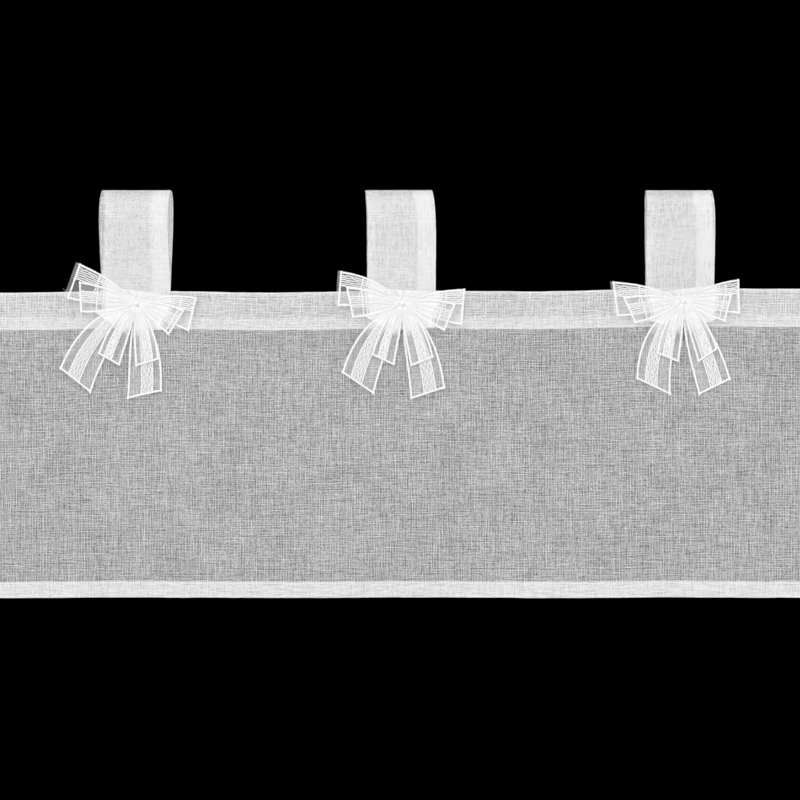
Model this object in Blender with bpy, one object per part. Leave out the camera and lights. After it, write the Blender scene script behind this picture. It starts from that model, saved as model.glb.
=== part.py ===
"""Short tab-top curtain of linen-look voile, with a two-layer organza bow at each tab.

Metres, +Z up. The origin is on the axis of the rod that the tabs hang from, at the middle tab.
+X runs along the rod, and the front of the curtain faces -Y. Every cloth piece is laid out as
its middle surface and then given its thickness.
"""
import math

import bpy
import bmesh

# Cloth
CLOTH = 0.0004              # one layer of voile
ORGANZA = 0.0003            # one layer of embroidered organza
GAP = 0.0003                # air between pieces, or layers, that touch
LAYER = CLOTH + GAP         # from one pressed layer of voile to the next

# Panel
PANEL_WIDTH = 0.600
PANEL_DROP = 0.2262         # top fold to bottom fold
HEADING_HEIGHT = 0.0281
HEADING_TURN_IN = 0.0090
HEM_HEIGHT = 0.0123
HEM_TURN_IN = 0.0105
SIDE_HEM = 0.005
SIDE_HEM_CLEAR = 0.0006     # the side hems stop this short of the heading and the bottom hem
COLUMN_COUNT = 24
ROW_COUNT = 9

# How the cloth hangs
SAG = 0.0015                # the heading drops this much half way between two tabs
SAG_LEFT_AT_HEM = 0.3       # share of the sag that still shows at the bottom hem
WAVE = 0.0011               # the panel sways this much to the front and back at its foot
WAVE_LENGTHS = (0.190, 0.131)

# Rod that the loops go round
ROD_DIAMETER = 0.016
ROD_SIDE_EASE = 0.0012
ROD_TOP_EASE = 0.0034

# Tabs, each a pressed double strip that goes over the rod and straddles the heading
TAB_WIDTH = 0.0508
TAB_HANG = 0.0614           # rod axis down to the heading's top edge
TAB_END = 0.0022            # the legs stop this far above the heading's bottom edge
TAB_STATIONS = 20
LEFT_TAB_INSET = 0.1052     # end of the panel to the middle of the outer tab
RIGHT_TAB_INSET = 0.0943
# Each tab: name, middle, lift of the heading there, sideways skew of the back leg against the
# front one, sideways shift of the crest, how much narrower the crest is, and how far the
# bow's middle lies beside the tab's
TABS = (
    ("left", LEFT_TAB_INSET - PANEL_WIDTH / 2, 0.0000, 0.0021, 0.0006, 0.0000, 0.0004),
    ("middle", 0.0006, 0.0000, -0.0007, -0.0020, 0.0012, 0.0005),
    ("right", PANEL_WIDTH / 2 - RIGHT_TAB_INSET, 0.0019, -0.0009, -0.0010, 0.0019, 0.0020),
)

# Bows
BOW_DROP = 0.0098           # heading's top edge down to the bow's middle
HUB_RADIUS = 0.005          # the gathered middle of each layer
FAN_ANGLE = 23.0            # a ribbon spreads this many degrees to each side of its root
PLEAT_DEPTH = 0.0009
PLEATS = 4
RIBBON_ROWS = 5
WING_LIFT = 0.0030          # how far forward the tip of a wing stands
WING_REACH = 0.050
TAIL_FALL = 0.0010          # how far back a tail settles below the tab
TAIL_FALL_START = 0.022
TAIL_FALL_END = 0.065
PEARL_DIAMETER = 0.003
RIBBON_UNIT = 0.001         # what reach and width are counted in below

# The ribbons of each layer, anticlockwise from the left wing: aim of the tip in degrees from
# +X, reach and width in ribbon units, slant of the cut end in degrees, and the bend in
# degrees, which is how far the ribbon's root is turned from its tip
RIBBONS = {
    "left": {
        "back": ((159.5, 51, 27.5, 1, 0), (231.5, 72, 29.5, -1, -19),
                 (275, 67.5, 26.5, 8, 8), (350, 42.5, 26, -3, 4)),
        "front": ((172.5, 42, 23, 10, 0), (244, 46, 18.5, -4, -8),
                  (280.5, 44.5, 18.5, 7, 6), (335, 33, 22, -8, 6)),
    },
    "middle": {
        "back": ((166, 48.5, 26, 10, -8), (241, 67, 29, -6, -14),
                 (286, 69, 27, 2, 10), (357, 45.5, 27, -2, 0)),
        "front": ((178, 39, 23.5, 14, 0), (251.5, 44, 18.5, -7, -7),
                  (289, 45.5, 18.5, 3, 7), (344, 37, 22, -7, 4)),
    },
    "right": {
        "back": ((177, 51, 26, 11, 0), (251, 66, 28.5, -7, -20),
                 (290.5, 67, 26.5, 6, 5), (365, 41.8, 25.3, -4, 2)),
        "front": ((188.5, 40.5, 21.5, 17, 0), (255, 43, 18, -7, -7),
                  (294.5, 44, 17.5, 10, 8), (351.5, 34, 21, -6, 2)),
    },
}

# Places that follow from the sizes
TOP = -TAB_HANG
HEADING_FOOT = TOP - HEADING_HEIGHT
BOTTOM = TOP - PANEL_DROP
HEM_TOP = BOTTOM + HEM_HEIGHT
HEADING_BACK = 2 * LAYER + CLOTH / 2
TAB_THICK = 2 * CLOTH + GAP
LEG_FRONT = -(CLOTH / 2 + GAP + TAB_THICK / 2)
LEG_BACK = HEADING_BACK + GAP + TAB_THICK / 2
LOOP_HALF_DEPTH = ROD_DIAMETER / 2 + ROD_SIDE_EASE + TAB_THICK / 2
LOOP_CREST = ROD_DIAMETER / 2 + ROD_TOP_EASE + TAB_THICK / 2
BOW_BACK = LEG_FRONT - TAB_THICK / 2 - GAP - ORGANZA / 2
BOW_FRONT = BOW_BACK - PLEAT_DEPTH - ORGANZA - GAP


def clear_scene():
    for item in list(bpy.data.objects):
        bpy.data.objects.remove(item, do_unlink=True)


def material(name, color, roughness, alpha=1.0):
    made = bpy.data.materials.new(name)
    made.use_nodes = True
    shader = made.node_tree.nodes["Principled BSDF"]
    shader.inputs["Base Color"].default_value = (*color, 1.0)
    shader.inputs["Roughness"].default_value = roughness
    shader.inputs["Metallic"].default_value = 0.0
    shader.inputs["Alpha"].default_value = alpha
    return made


def add_object(name, mesh, finish):
    item = bpy.data.objects.new(name, mesh)
    item.data.materials.append(finish)
    bpy.context.scene.collection.objects.link(item)
    return item


def add_cloth(name, build, thickness, finish):
    """A named cloth piece: build(mesh) lays out the middle surface, Solidify gives it body."""
    sheet = bmesh.new()
    build(sheet)
    bmesh.ops.recalc_face_normals(sheet, faces=sheet.faces)
    mesh = bpy.data.meshes.new(name)
    sheet.to_mesh(mesh)
    sheet.free()
    mesh.shade_smooth()
    item = add_object(name, mesh, finish)
    body = item.modifiers.new("Thickness", "SOLIDIFY")
    body.thickness = thickness
    body.offset = 0.0
    body.use_even_offset = True
    body.use_rim = True
    return item


def ease(share):
    """Runs from 0 to 1 with a soft start and end."""
    share = min(max(share, 0.0), 1.0)
    return (1 - math.cos(math.pi * share)) / 2


def lift_at(x):
    """How far the tabs lift the heading above its set height at x."""
    spans = list(zip(TABS, TABS[1:]))
    for left, right in spans:
        if x <= right[1] or (left, right) == spans[-1]:
            share = (x - left[1]) / (right[1] - left[1])
            return left[2] + (right[2] - left[2]) * max(share, 0.0)


def sag_at(x):
    """How far the heading sags at x: nothing at a tab, most half way between two."""
    middles = [tab[1] for tab in TABS]
    inside = [pair for pair in zip(middles, middles[1:]) if pair[0] <= x <= pair[1]]
    if inside:
        start, end = inside[0]
        return SAG * ease(2 * min(x - start, end - x) / (end - start))
    overhang = min(abs(x - middle) for middle in middles)
    return SAG * ease(overhang / (PANEL_WIDTH / 2 - max(middles)))


def hang(x, y, z):
    """Moves a point of the flat curtain to where it hangs."""
    share = (z - BOTTOM) / PANEL_DROP
    sag = sag_at(x) * (SAG_LEFT_AT_HEM + (1 - SAG_LEFT_AT_HEM) * share)
    long_wave, short_wave = (math.sin(2 * math.pi * x / length) for length in WAVE_LENGTHS)
    sway = WAVE * max(1 - share, 0.0) * (long_wave + short_wave / 2)
    return (x, y + sway, z + lift_at(x) * share - sag)


def arc(centre, radius, start, end, steps):
    """Points of an arc in degrees, both ends included."""
    turns = [math.radians(start + (end - start) * step / steps) for step in range(steps + 1)]
    return [(centre[0] + radius * math.cos(turn), centre[1] + radius * math.sin(turn))
            for turn in turns]


def panel_section():
    """The folded section as (y, z) points, and which of them may carry the side hems."""
    over = LAYER                # radius of the folds that go over the whole hem
    under = LAYER / 2           # radius of the turned-in folds inside them
    heading_back = arc((1.5 * LAYER, HEADING_FOOT + CLOTH / 2 + under), under, 180, 360, 3)
    top_fold = arc((LAYER, TOP - CLOTH / 2 - over), over, 0, 180, 4)
    bottom_fold = arc((LAYER, BOTTOM + CLOTH / 2 + over), over, 180, 360, 4)
    hem_back = arc((1.5 * LAYER, HEM_TOP - CLOTH / 2 - under), under, 0, 180, 3)
    first = HEADING_FOOT - SIDE_HEM_CLEAR
    last = HEM_TOP + SIDE_HEM_CLEAR
    drop = [(0.0, first + (last - first) * row / ROW_COUNT) for row in range(ROW_COUNT + 1)]
    before = [(LAYER, HEADING_FOOT + HEADING_TURN_IN), *heading_back, *top_fold]
    after = [*bottom_fold, *hem_back, (LAYER, HEM_TOP - HEM_TURN_IN)]
    points = before + drop + after
    open_rows = range(len(before), len(before) + len(drop))
    return points, open_rows


def panel_columns():
    """Across the panel as (x, y step), with the folded side hems, and the main columns."""
    under = LAYER / 2
    edge = PANEL_WIDTH / 2 - CLOTH / 2 - under
    right_fold = arc((edge, under), under, -90, 90, 3)
    right = right_fold[1:] + [(PANEL_WIDTH / 2 - SIDE_HEM, LAYER)]
    left = [(-x, y) for x, y in reversed(right)]
    main = [(-edge + 2 * edge * step / COLUMN_COUNT, 0.0) for step in range(COLUMN_COUNT + 1)]
    columns = left + main + right
    return columns, range(len(left), len(left) + len(main))


def build_panel(sheet):
    section, open_rows = panel_section()
    columns, main_columns = panel_columns()
    grid = {}
    for row, (y, z) in enumerate(section):
        for column, (x, step) in enumerate(columns):
            if column in main_columns or row in open_rows:
                grid[row, column] = sheet.verts.new(hang(x, y + step, z))
    for row in range(len(section) - 1):
        for column in range(len(columns) - 1):
            corners = [(row, column), (row, column + 1), (row + 1, column + 1), (row + 1, column)]
            if all(corner in grid for corner in corners):
                sheet.faces.new([grid[corner] for corner in corners])


def tab_path(lift):
    """Middle line of the loop, up the front leg, over the rod and down the back.

    Each point is (y, z, share), and share runs from 0 to 1 over the free part of the loop.
    """
    foot = HEADING_FOOT + TAB_END + lift
    parting = TOP + lift
    half = TAB_STATIONS // 2
    legs = []
    for leg in (LEG_FRONT, LEG_BACK):
        side = math.copysign(1, leg)
        end = 0.0 if side < 0 else 1.0
        line = [(leg, foot, end), (leg, (foot + parting) / 2, end)]
        for step in range(half + 1):
            z = parting + (LOOP_CREST - parting) * math.sin(math.pi / 2 * step / half)
            if z < 0:
                y = leg + (side * LOOP_HALF_DEPTH - leg) * ease(1 - z / parting)
            else:
                y = side * LOOP_HALF_DEPTH * math.sqrt(max(1 - (z / LOOP_CREST) ** 2, 0.0))
            line.append((y, z, end + step / half * (0.5 - end)))
        legs.append(line)
    front, back = legs
    return front + back[-2::-1]


def build_tab(sheet, middle, lift, skew, crest_shift, crest_pinch):
    """A flattened tube of cloth that follows the loop."""
    path = tab_path(lift)
    rings = []
    for index, (y, z, share) in enumerate(path):
        before = path[max(index - 1, 0)]
        after = path[min(index + 1, len(path) - 1)]
        run = math.hypot(after[0] - before[0], after[1] - before[1])
        out_y = (after[1] - before[1]) / run
        out_z = -(after[0] - before[0]) / run
        rise = math.sin(math.pi * share) ** 6
        shift = crest_shift * rise - skew * math.sin(2 * math.pi * share)
        half = (TAB_WIDTH - crest_pinch * rise - CLOTH) / 2
        turn = LAYER / 2
        ring = arc((half - turn, 0.0), turn, -90, 90, 3)
        ring += [(-x, step) for x, step in reversed(ring)]
        rings.append([sheet.verts.new((middle + shift + x, y + out_y * step, z + out_z * step))
                      for x, step in ring])
    for ring, above in zip(rings, rings[1:]):
        for index in range(len(ring)):
            beside = (index + 1) % len(ring)
            sheet.faces.new((ring[index], ring[beside], above[beside], above[index]))


def ribbon_points(aim, reach, width, slant, bend):
    """Rows of (x, z, fold) from a ribbon's root to its cut end; fold is -1 to 1."""
    reach, half_width = reach * RIBBON_UNIT, width * RIBBON_UNIT / 2
    opening = math.tan(math.radians(FAN_ANGLE)) / half_width
    rows = []
    for step in range(RIBBON_ROWS + 1):
        share = step / RIBBON_ROWS
        along = HUB_RADIUS + (reach - HUB_RADIUS) * share
        half = half_width * math.tanh(opening * along) / math.tanh(opening * reach)
        turn = math.radians(aim + bend * (1 - share))
        cut = turn + math.radians(slant) * share ** 2
        depth = 0.85 * math.sin(math.pi * share ** 0.7) + 0.15 * share
        row = []
        for fold in range(2 * PLEATS + 1):
            side = half * (fold / PLEATS - 1)
            x = along * math.cos(turn) - side * math.sin(cut)
            z = along * math.sin(turn) + side * math.cos(cut)
            row.append((x, z, depth * (-1) ** fold))
        rows.append(row)
    return rows


def build_bow_layer(sheet, centre, base, ribbons):
    """Four pleated ribbons round one gathered middle. base is the rearmost middle surface.

    Neighbouring ribbons are joined by a web that reaches as far as their first row.
    """
    centre_x, centre_z = centre

    def place(x, z, fold):
        lift = WING_LIFT * (x / WING_REACH) ** 2
        fall = TAIL_FALL * ease((-z - TAIL_FALL_START) / (TAIL_FALL_END - TAIL_FALL_START))
        y = base - PLEAT_DEPTH * (1 + fold) / 2 - lift + fall
        return sheet.verts.new(hang(centre_x + x, y, centre_z + z))

    ring, inner_rows = [], []
    for ribbon in ribbons:
        rows = [[place(*point) for point in row] for row in ribbon_points(*ribbon)]
        ring += rows[0]
        inner_rows.append(rows[:2])
        for row, beyond in zip(rows, rows[1:]):
            for index in range(len(row) - 1):
                sheet.faces.new((row[index], row[index + 1], beyond[index + 1], beyond[index]))
    for (root, outer), (next_root, next_outer) in zip(inner_rows, inner_rows[1:] + inner_rows[:1]):
        sheet.faces.new((root[-1], next_root[0], next_outer[0], outer[-1]))
    hub = place(0.0, 0.0, 0.0)
    for index, vert in enumerate(ring):
        sheet.faces.new((hub, vert, ring[(index + 1) % len(ring)]))


def build_bow(name, middle, organza, pearl):
    """Both layers of one bow and the pearl sewn on its middle."""
    centre = (middle, TOP - BOW_DROP)
    for layer, base in (("back", BOW_BACK), ("front", BOW_FRONT)):
        ribbons = RIBBONS[name][layer]
        add_cloth(f"bow_{name}_{layer}",
                  lambda sheet: build_bow_layer(sheet, centre, base, ribbons), ORGANZA, organza)
    seat = BOW_FRONT - PLEAT_DEPTH / 2 - ORGANZA / 2 - GAP
    ball = bmesh.new()
    bmesh.ops.create_uvsphere(ball, u_segments=12, v_segments=8, radius=PEARL_DIAMETER / 2)
    mesh = bpy.data.meshes.new(f"bow_{name}_pearl")
    ball.to_mesh(mesh)
    ball.free()
    mesh.shade_smooth()
    item = add_object(f"bow_{name}_pearl", mesh, pearl)
    item.location = hang(centre[0], seat - PEARL_DIAMETER / 2, centre[1])


def main():
    clear_scene()
    add_cloth("panel", build_panel, CLOTH, material("panel_voile", (0.86, 0.86, 0.85), 0.9, 0.48))
    for name, middle, lift, skew, crest_shift, crest_pinch, bow_aside in TABS:
        finish = material(f"tab_{name}_voile", (0.87, 0.87, 0.86), 0.9, 0.5)
        add_cloth(f"tab_{name}",
                  lambda sheet: build_tab(sheet, middle, lift, skew, crest_shift, crest_pinch),
                  CLOTH, finish)
        organza = material(f"bow_{name}_organza", (0.9, 0.9, 0.9), 0.6, 0.3)
        pearl = material(f"bow_{name}_pearl", (0.8, 0.79, 0.76), 0.3)
        build_bow(name, middle + bow_aside, organza, pearl)


main()
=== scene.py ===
"""Dresses the short curtain: slubby voile, its seams, and embroidered organza bows.

Metres, +Z up. The origin is on the axis of the loops, at the middle tab, and the front faces
-Y. The sizes at the top repeat the construction's, as the cloth here follows the same folds.
"""
import math
import random
from collections import namedtuple

import bmesh
import bpy
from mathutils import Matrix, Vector, noise


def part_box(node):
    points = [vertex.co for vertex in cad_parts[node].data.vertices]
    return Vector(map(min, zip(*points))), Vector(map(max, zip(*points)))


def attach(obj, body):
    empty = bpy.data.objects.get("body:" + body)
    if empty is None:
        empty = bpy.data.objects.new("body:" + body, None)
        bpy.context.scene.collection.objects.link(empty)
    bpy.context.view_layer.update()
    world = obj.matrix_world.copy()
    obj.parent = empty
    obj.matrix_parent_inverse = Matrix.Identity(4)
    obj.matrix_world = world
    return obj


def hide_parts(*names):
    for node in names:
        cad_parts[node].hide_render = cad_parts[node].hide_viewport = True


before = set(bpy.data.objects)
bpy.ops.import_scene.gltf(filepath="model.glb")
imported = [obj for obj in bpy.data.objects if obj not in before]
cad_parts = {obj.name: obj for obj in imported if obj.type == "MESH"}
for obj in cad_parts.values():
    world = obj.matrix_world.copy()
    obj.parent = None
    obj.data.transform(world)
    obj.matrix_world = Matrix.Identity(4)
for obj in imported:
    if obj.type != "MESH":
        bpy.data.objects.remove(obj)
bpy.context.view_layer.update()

MM = 0.001

# Cloth
LAYER = 0.0007  # from one pressed layer of voile to the next
CLOTH = 0.0004
ORGANZA = 0.0003
GAP = 0.0003
GRID = 0.0022  # spacing of the vertices on flat cloth
UNDER_STEPS = 6  # facets of a turned-in fold, and of one that goes over it
OVER_STEPS = 8

# Panel
PANEL_WIDTH = 0.600
PANEL_DROP = 0.2262
HEADING_HEIGHT = 0.0281
HEADING_TURN_IN = 0.0090
HEM_HEIGHT = 0.0123
HEM_TURN_IN = 0.0105
SIDE_HEM = 0.005
SIDE_HEM_CLEAR = 0.0006
SAG = 0.0015
SAG_LEFT_AT_HEM = 0.3
WAVE = 0.0011
WAVE_LENGTHS = (0.190, 0.131)

# Tabs: each has its lift of the heading, skew of the back leg, and shift and pinch of the
# crest, and its bow lies a little aside
ROD_DIAMETER = 0.016
ROD_SIDE_EASE = 0.0012
ROD_TOP_EASE = 0.0034
TAB_WIDTH = 0.0508
TAB_HANG = 0.0614
TAB_END = 0.0022
TAB_COLUMNS = 24
LOOP_STEPS = 40  # stations up each side of the free loop
CREST_SHARPNESS = 6  # how close to the crest its shift and pinch stay
Tab = namedtuple("Tab", "name middle lift skew crest_shift crest_pinch bow_aside")
TABS = (
    Tab("left", -0.1948, 0.0000, 0.0015, 0.0006, 0.0000, 0.0004),
    Tab("middle", 0.0006, 0.0000, -0.0003, -0.0020, 0.0012, 0.0005),
    Tab("right", 0.2057, 0.0019, -0.0002, -0.0010, 0.0019, 0.0020),
)

# Small unevenness of the cloth: amount, length and seed
FREE_CLOTH = 0.02  # the face is uneven from this far below the heading
FACE_RUFFLE = (0.00045, 0.045, 3.0)
EDGE_RUFFLE = (0.00035, 0.030, 7.0)
EDGE_FRET = (0.00012, 0.006, 9.0)
TAB_FRET = (0.00012, 0.006, 2.0)
TAB_BEND = (0.00018, 0.020, 5.0)
TAB_WRINKLE = (0.00012, 0.020, 8.0)
WRINKLES_ACROSS = 3  # how much closer wrinkles lie across a tab than along

# Seams
STITCH_PITCH = 0.0029
STITCH_START = 0.08  # shares of the pitch
STITCH_LENGTH = 0.84
STITCH_STEPS = 4
STITCH_RISE = 0.00022
STITCH_RADIUS = 0.00016
STITCH_PROUD = 0.00012  # from the cloth's middle to the thread
SEAM_INSETS = {"heading": 0.0016, "hem": 0.0014, "side": 0.0013}
SEAM_END = 0.001
TAB_STITCH_INSET = 0.0019
TAB_STITCH_PROUD = 0.00014
TAB_STITCH_STEP = 0.0009
TAB_STITCH_SIZE = (0.0005, 0.00032)
TAB_STITCH_RIPPLE = 0.35

# Bows
BOW_DROP = 0.0098
HUB_RADIUS = 0.005
ROOT_RADIUS = 0.0012  # the gathered ribbons start this far from the middle
FAN_ANGLE = 23.0
PLEAT_DEPTH = 0.0009
PLEATS = 4
PLEAT_SWELL = 0.85  # depth of the pleats half way along, and what is left at the end
PLEAT_LEFT = 0.15
PLEAT_EARLY = 0.7  # under 1, the pleats are deepest before half way
RIBBON_STEPS = (30, 8 * PLEATS)
WING_LIFT = 0.0030
WING_REACH = 0.050
TAIL_FALL = 0.0010
TAIL_FALL_START = 0.022
TAIL_FALL_END = 0.065
PEARL_DIAMETER = 0.003

# Ribbons, anticlockwise from the left wing: aim, reach, width, slant, bend (degrees and mm)
RIBBONS = {
    "left": {
        "back": ((159.5, 51, 27.5, 1, 0), (231.5, 72, 29.5, -1, -19),
                 (275, 67.5, 26.5, 8, 8), (350, 42.5, 26, -3, 4)),
        "front": ((172.5, 42, 23, 10, 0), (244, 46, 18.5, -4, -8),
                  (280.5, 44.5, 18.5, 7, 6), (335, 33, 22, -8, 6)),
    },
    "middle": {
        "back": ((166, 48.5, 26, 10, -8), (241, 67, 29, -6, -14),
                 (286, 69, 27, 2, 10), (357, 45.5, 27, -2, 0)),
        "front": ((178, 39, 23.5, 14, 0), (251.5, 44, 18.5, -7, -7),
                  (289, 45.5, 18.5, 3, 7), (344, 37, 22, -7, 4)),
    },
    "right": {
        "back": ((177, 51, 26, 11, 0), (251, 66, 28.5, -7, -20),
                 (290.5, 67, 26.5, 6, 5), (365, 41.8, 25.3, -4, 2)),
        "front": ((188.5, 40.5, 21.5, 17, 0), (255, 43, 18, -7, -7),
                  (294.5, 44, 17.5, 10, 8), (351.5, 34, 21, -6, 2)),
    },
}
WING, TAIL = "wing", "tail"
KINDS = (WING, TAIL, TAIL, WING)
OUTER_SIDES = (-1, -1, 1, 1)  # the side of each ribbon that is its outer or upper edge
RAW_EDGE = 0.0010  # the back left wings' organza goes past its solid by this
RAW_ENDED = (0, "back")

# Embroidery, placed across a ribbon as shares from its outer edge
SATIN_WIDTH = 0.0017
SATIN_THICK = 0.00048
SATIN_STITCH = 0.00042
SATIN_RIPPLE = 0.22
SATIN_WANDER = 0.00012
SATIN_UNEVEN = (0.30, 0.0016, 4.0)
SATIN_INSET = {"left": 0.0014, "middle": 0.0005, "right": 0.0005}
SATIN_ROOT = 0.34  # how narrow the lines are at the bow's middle
SATIN_GROWS = (0.007, 0.016)
OUTLINE_START = 0.3  # share of the way from hub to root
OUTLINE_PAST = 0.02
OUTLINE_SPAN = 1.02
BORDER_WIDTH = 0.0011
BORDER_START = {WING: 0.25, TAIL: 0.10}
FINE_RADIUS = {WING: 0.00046, TAIL: 0.00036}
FINE_START = {WING: 0.20, TAIL: 0.12}
FINE_STEP = 0.0011
FINE_WANDER = 0.0009
FINE_SEEDS = 7  # seeds from one ribbon's fine lines to the next ribbon's
WANDER_LENGTH = 0.003
TAIL_BORDERS = (0.27, 0.60)
TAIL_FINE = (0.31, 0.35, 0.39, 0.43, 0.47, 0.51, 0.55)
WING_BORDER = {"back": 0.41, "front": 0.30}
WING_FINE = {
    "back": (0.115, 0.175, 0.235, 0.295, 0.355),
    "front": (0.37, 0.44, 0.51, 0.58, 0.65),
}
CROSS_REACH = {"back": 0.0320, "front": 0.0290}
CROSS_SPAN = 0.97
INNER_CROSS = {"left": 0.84, "middle": 0.90, "right": 0.86}  # the second, finer cross line
INNER_CROSS_WIDTH = 0.0007
INNER_CROSS_SPAN = 0.95
FAN_LINES = 15
FAN_RADIUS = 0.00018
FAN_WANDER = 0.0005
FAN_STOP = (0.80, 0.24)  # least share of the fan's reach, and what chance adds
FAN_SEEDS = 30
WISPS = {"back": 9, "front": 3}
WISP_WIDTH = 0.00013
WISP_LENGTHS = (0.8, 2.6)
WISP_LEAN = (-0.4, 0.1)  # to the front and back
WISP_CURL = 0.9
WISP_PARTS = (0.0, 0.3, 0.6, 0.85, 1.0)
WISP_SHARES = (0.90, 0.99)  # a wisp starts at the second and points away from the first
WISP_SPREAD = (-1.05, 0.5)  # its side: the first number, and what chance adds

# How dense the organza is
BAND_VEIL = {WING: 0.05, TAIL: 0.22}  # in the bands
GATHER_VEIL = 0.14  # anywhere inside the reach of the gathers
GATHER_DENSE = 0.8  # at the bow's middle, and fading outwards
WING_FADE = (0.10, 0.12)  # from this share before the second cross line, over this share
TAIL_FADE = (0.55, 0.50)  # from this share of the reach, over this share
TAIL_FAN_REACH = 0.024
OUTER_FAN_REACH = 0.032  # outside the band of a back tail

# Cloth between neighbouring ribbons, anticlockwise from below the left wing: how far out along
# each of the two it goes, as shares
WEB_REACH = {
    "back": ((0.20, 0.20), (0.20, 0.20), (0.20, 0.20), (0.50, 0.22)),
    "front": ((0.68, 0.42), (0.20, 0.20), (0.44, 0.76), (0.50, 0.22)),
}
WEB_STEPS = 12
WEB_DENSE = 0.58
WEB_PUCKER = 0.00012
WEB_FLAT = (0.2, 0.05, 0.0006)  # place on the flat cloth: first web, next web, next column

# Gathered hub
HUB_DISC = 0.0030
HUB_SPOKES = 72
HUB_RINGS = 8
HUB_DENSE = 0.9
HUB_CROWN = 0.0001
HUB_PUCKER = 0.00022
HUB_FOLDS = 9
HUB_UNEVEN = (1.3, 3)  # how far the folds are drawn together, and in how many places
HUB_FLAT = 5  # place on the flat cloth

# Places that follow
TOP = -TAB_HANG
HEADING_FOOT = TOP - HEADING_HEIGHT
BOTTOM = TOP - PANEL_DROP
HEM_TOP = BOTTOM + HEM_HEIGHT
HEADING_BACK = 2 * LAYER + CLOTH / 2
TAB_THICK = 2 * CLOTH + GAP
LEG_FRONT = -(CLOTH / 2 + GAP + TAB_THICK / 2)
LEG_BACK = HEADING_BACK + GAP + TAB_THICK / 2
LOOP_HALF_DEPTH = ROD_DIAMETER / 2 + ROD_SIDE_EASE + TAB_THICK / 2
LOOP_CREST = ROD_DIAMETER / 2 + ROD_TOP_EASE + TAB_THICK / 2
BASES = {"back": LEG_FRONT - TAB_THICK / 2 - GAP - ORGANZA / 2}
BASES["front"] = BASES["back"] - PLEAT_DEPTH - ORGANZA - GAP

# How much the gaps between the yarns close where cloth is folded and pressed; on a tab's left
# side, in its groove and towards its crest they open instead as painted shade, and along the
# crest's top they close partly as a painted highlight
FOLD_PRESS = 0.30
FOLD_REACH = 0.0013
BOTTOM_PRESS = 0.50
FOOT_PRESS = 0.36  # on the layers behind the heading's foot
TOP_PRESS = 0.06
TOP_BAND = 0.0028
HEM_PRESS = 0.08
STRIP_PRESS = 0.07
TAB_PRESS = -0.035
TAB_SEAM_PRESS = 0.07
TAB_EDGE = 0.0003
TAB_EDGE_PRESS = 0.20
# Painted shade: the yarns thin out in the groove just inside a tab's right edge, beside its
# stitches
TAB_GROOVE_PAINTED_SHADE = -0.08
TAB_FOLD = 0.0005
# Painted shade: the yarns thin out on a tab's left fold and the strip beside it, so that side
# looks darker
TAB_FOLD_PAINTED_SHADE = -0.05
TAB_SIDE_PAINTED_SHADE = -0.01
TAB_SIDE_STRIP = 0.0040
# Painted shade: the yarns thin out towards the top of each loop to darken its crest; along the
# very top they close up again, partly a painted highlight
CREST_PAINTED_SHADE = -0.04
CREST_PAINTED_SHADE_ZONE = (0.0060, 0.0060)
CREST_LINE = 0.0010  # the very top, where the cloth is seen edge on: its yarns look closer there, partly as a painted highlight
CREST_LINE_EDGE_ON_AND_HIGHLIGHT = 0.30
SEAM_ALLOWANCE = 0.0134  # inside the tab, along its right edge
SEAM_STRIP = 0.0040
SEAM_COLUMNS = 12
SEAM_GROOVE = (0.0012, 0.0018)
TAB_FLAT = 0.11  # place of the tabs' first edge on the flat cloth

# Voile: its yarns, and how many times per metre each unevenness changes
YARN_PITCH = 0.00067
YARN_COVER = 0.255  # share of the width that the yarns of one way take up
YARN_SOFT = 0.16  # softness of a yarn's edge, as a share of half the pitch
YARN_APART = 5.17  # how far apart two neighbouring yarns are in the noise
SLUB = 0.44  # how much thicker and thinner the yarns get
SHORT_SLUBS = 420.0
LONG_SLUBS = 60.0
THICK_YARN = 3  # every third yarn is thicker
THICKER_WEFT = 0.055
THICKER_WARP = 0.08
DRIFT = 0.07  # how much closer or wider whole patches are
DRIFTS = 25.0
WAVER = 0.15  # how far all yarns wander together, in pitches
WAVERS = 60.0
STRAY = 0.90  # how far one yarn strays from its place, in pitches
STRAYS = 90.0
CROSSING_RISE = 0.4  # how much the upper yarn rises where two cross
VOILE_BUMP = (0.00012, 0.6)
FIBRES = 400.0
VOILE_TINTS = ((0.935, 0.935, 0.933), (0.985, 0.985, 0.983))
VOILE_ROUGHNESS = 0.85

# Organza
MESH_PITCH = 0.00035
MESH_SHARP = 3.2
MESH_VEIL = 0.35
STREAKS = (1500.0, 60.0)  # across and along a ribbon
STREAK_DENSITY = (1.1, 0.25)
ORGANZA_BUMP = (0.0001, 0.4)
ORGANZA_TINTS = ((0.90, 0.90, 0.90), (0.96, 0.96, 0.96))
ORGANZA_ROUGHNESS = 0.5
ORGANZA_LETS_THROUGH = 0.6

# Thread and pearl
TWISTS = 2600.0
THREAD_BUMP = (0.0001, 0.5)
THREAD_TINTS = ((0.84, 0.84, 0.838), (0.95, 0.95, 0.948))
THREAD_ROUGHNESS = 0.5
THREAD_SHEEN = 0.15
CLOUDS = 900.0
PEARL_BUMP = (0.00005, 0.3)
PEARL_TINTS = ((0.88, 0.88, 0.87), (0.96, 0.96, 0.95))
PEARL_ROUGHNESS = 0.25
PEARL_COAT = (0.6, 0.12)  # weight and roughness

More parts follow.
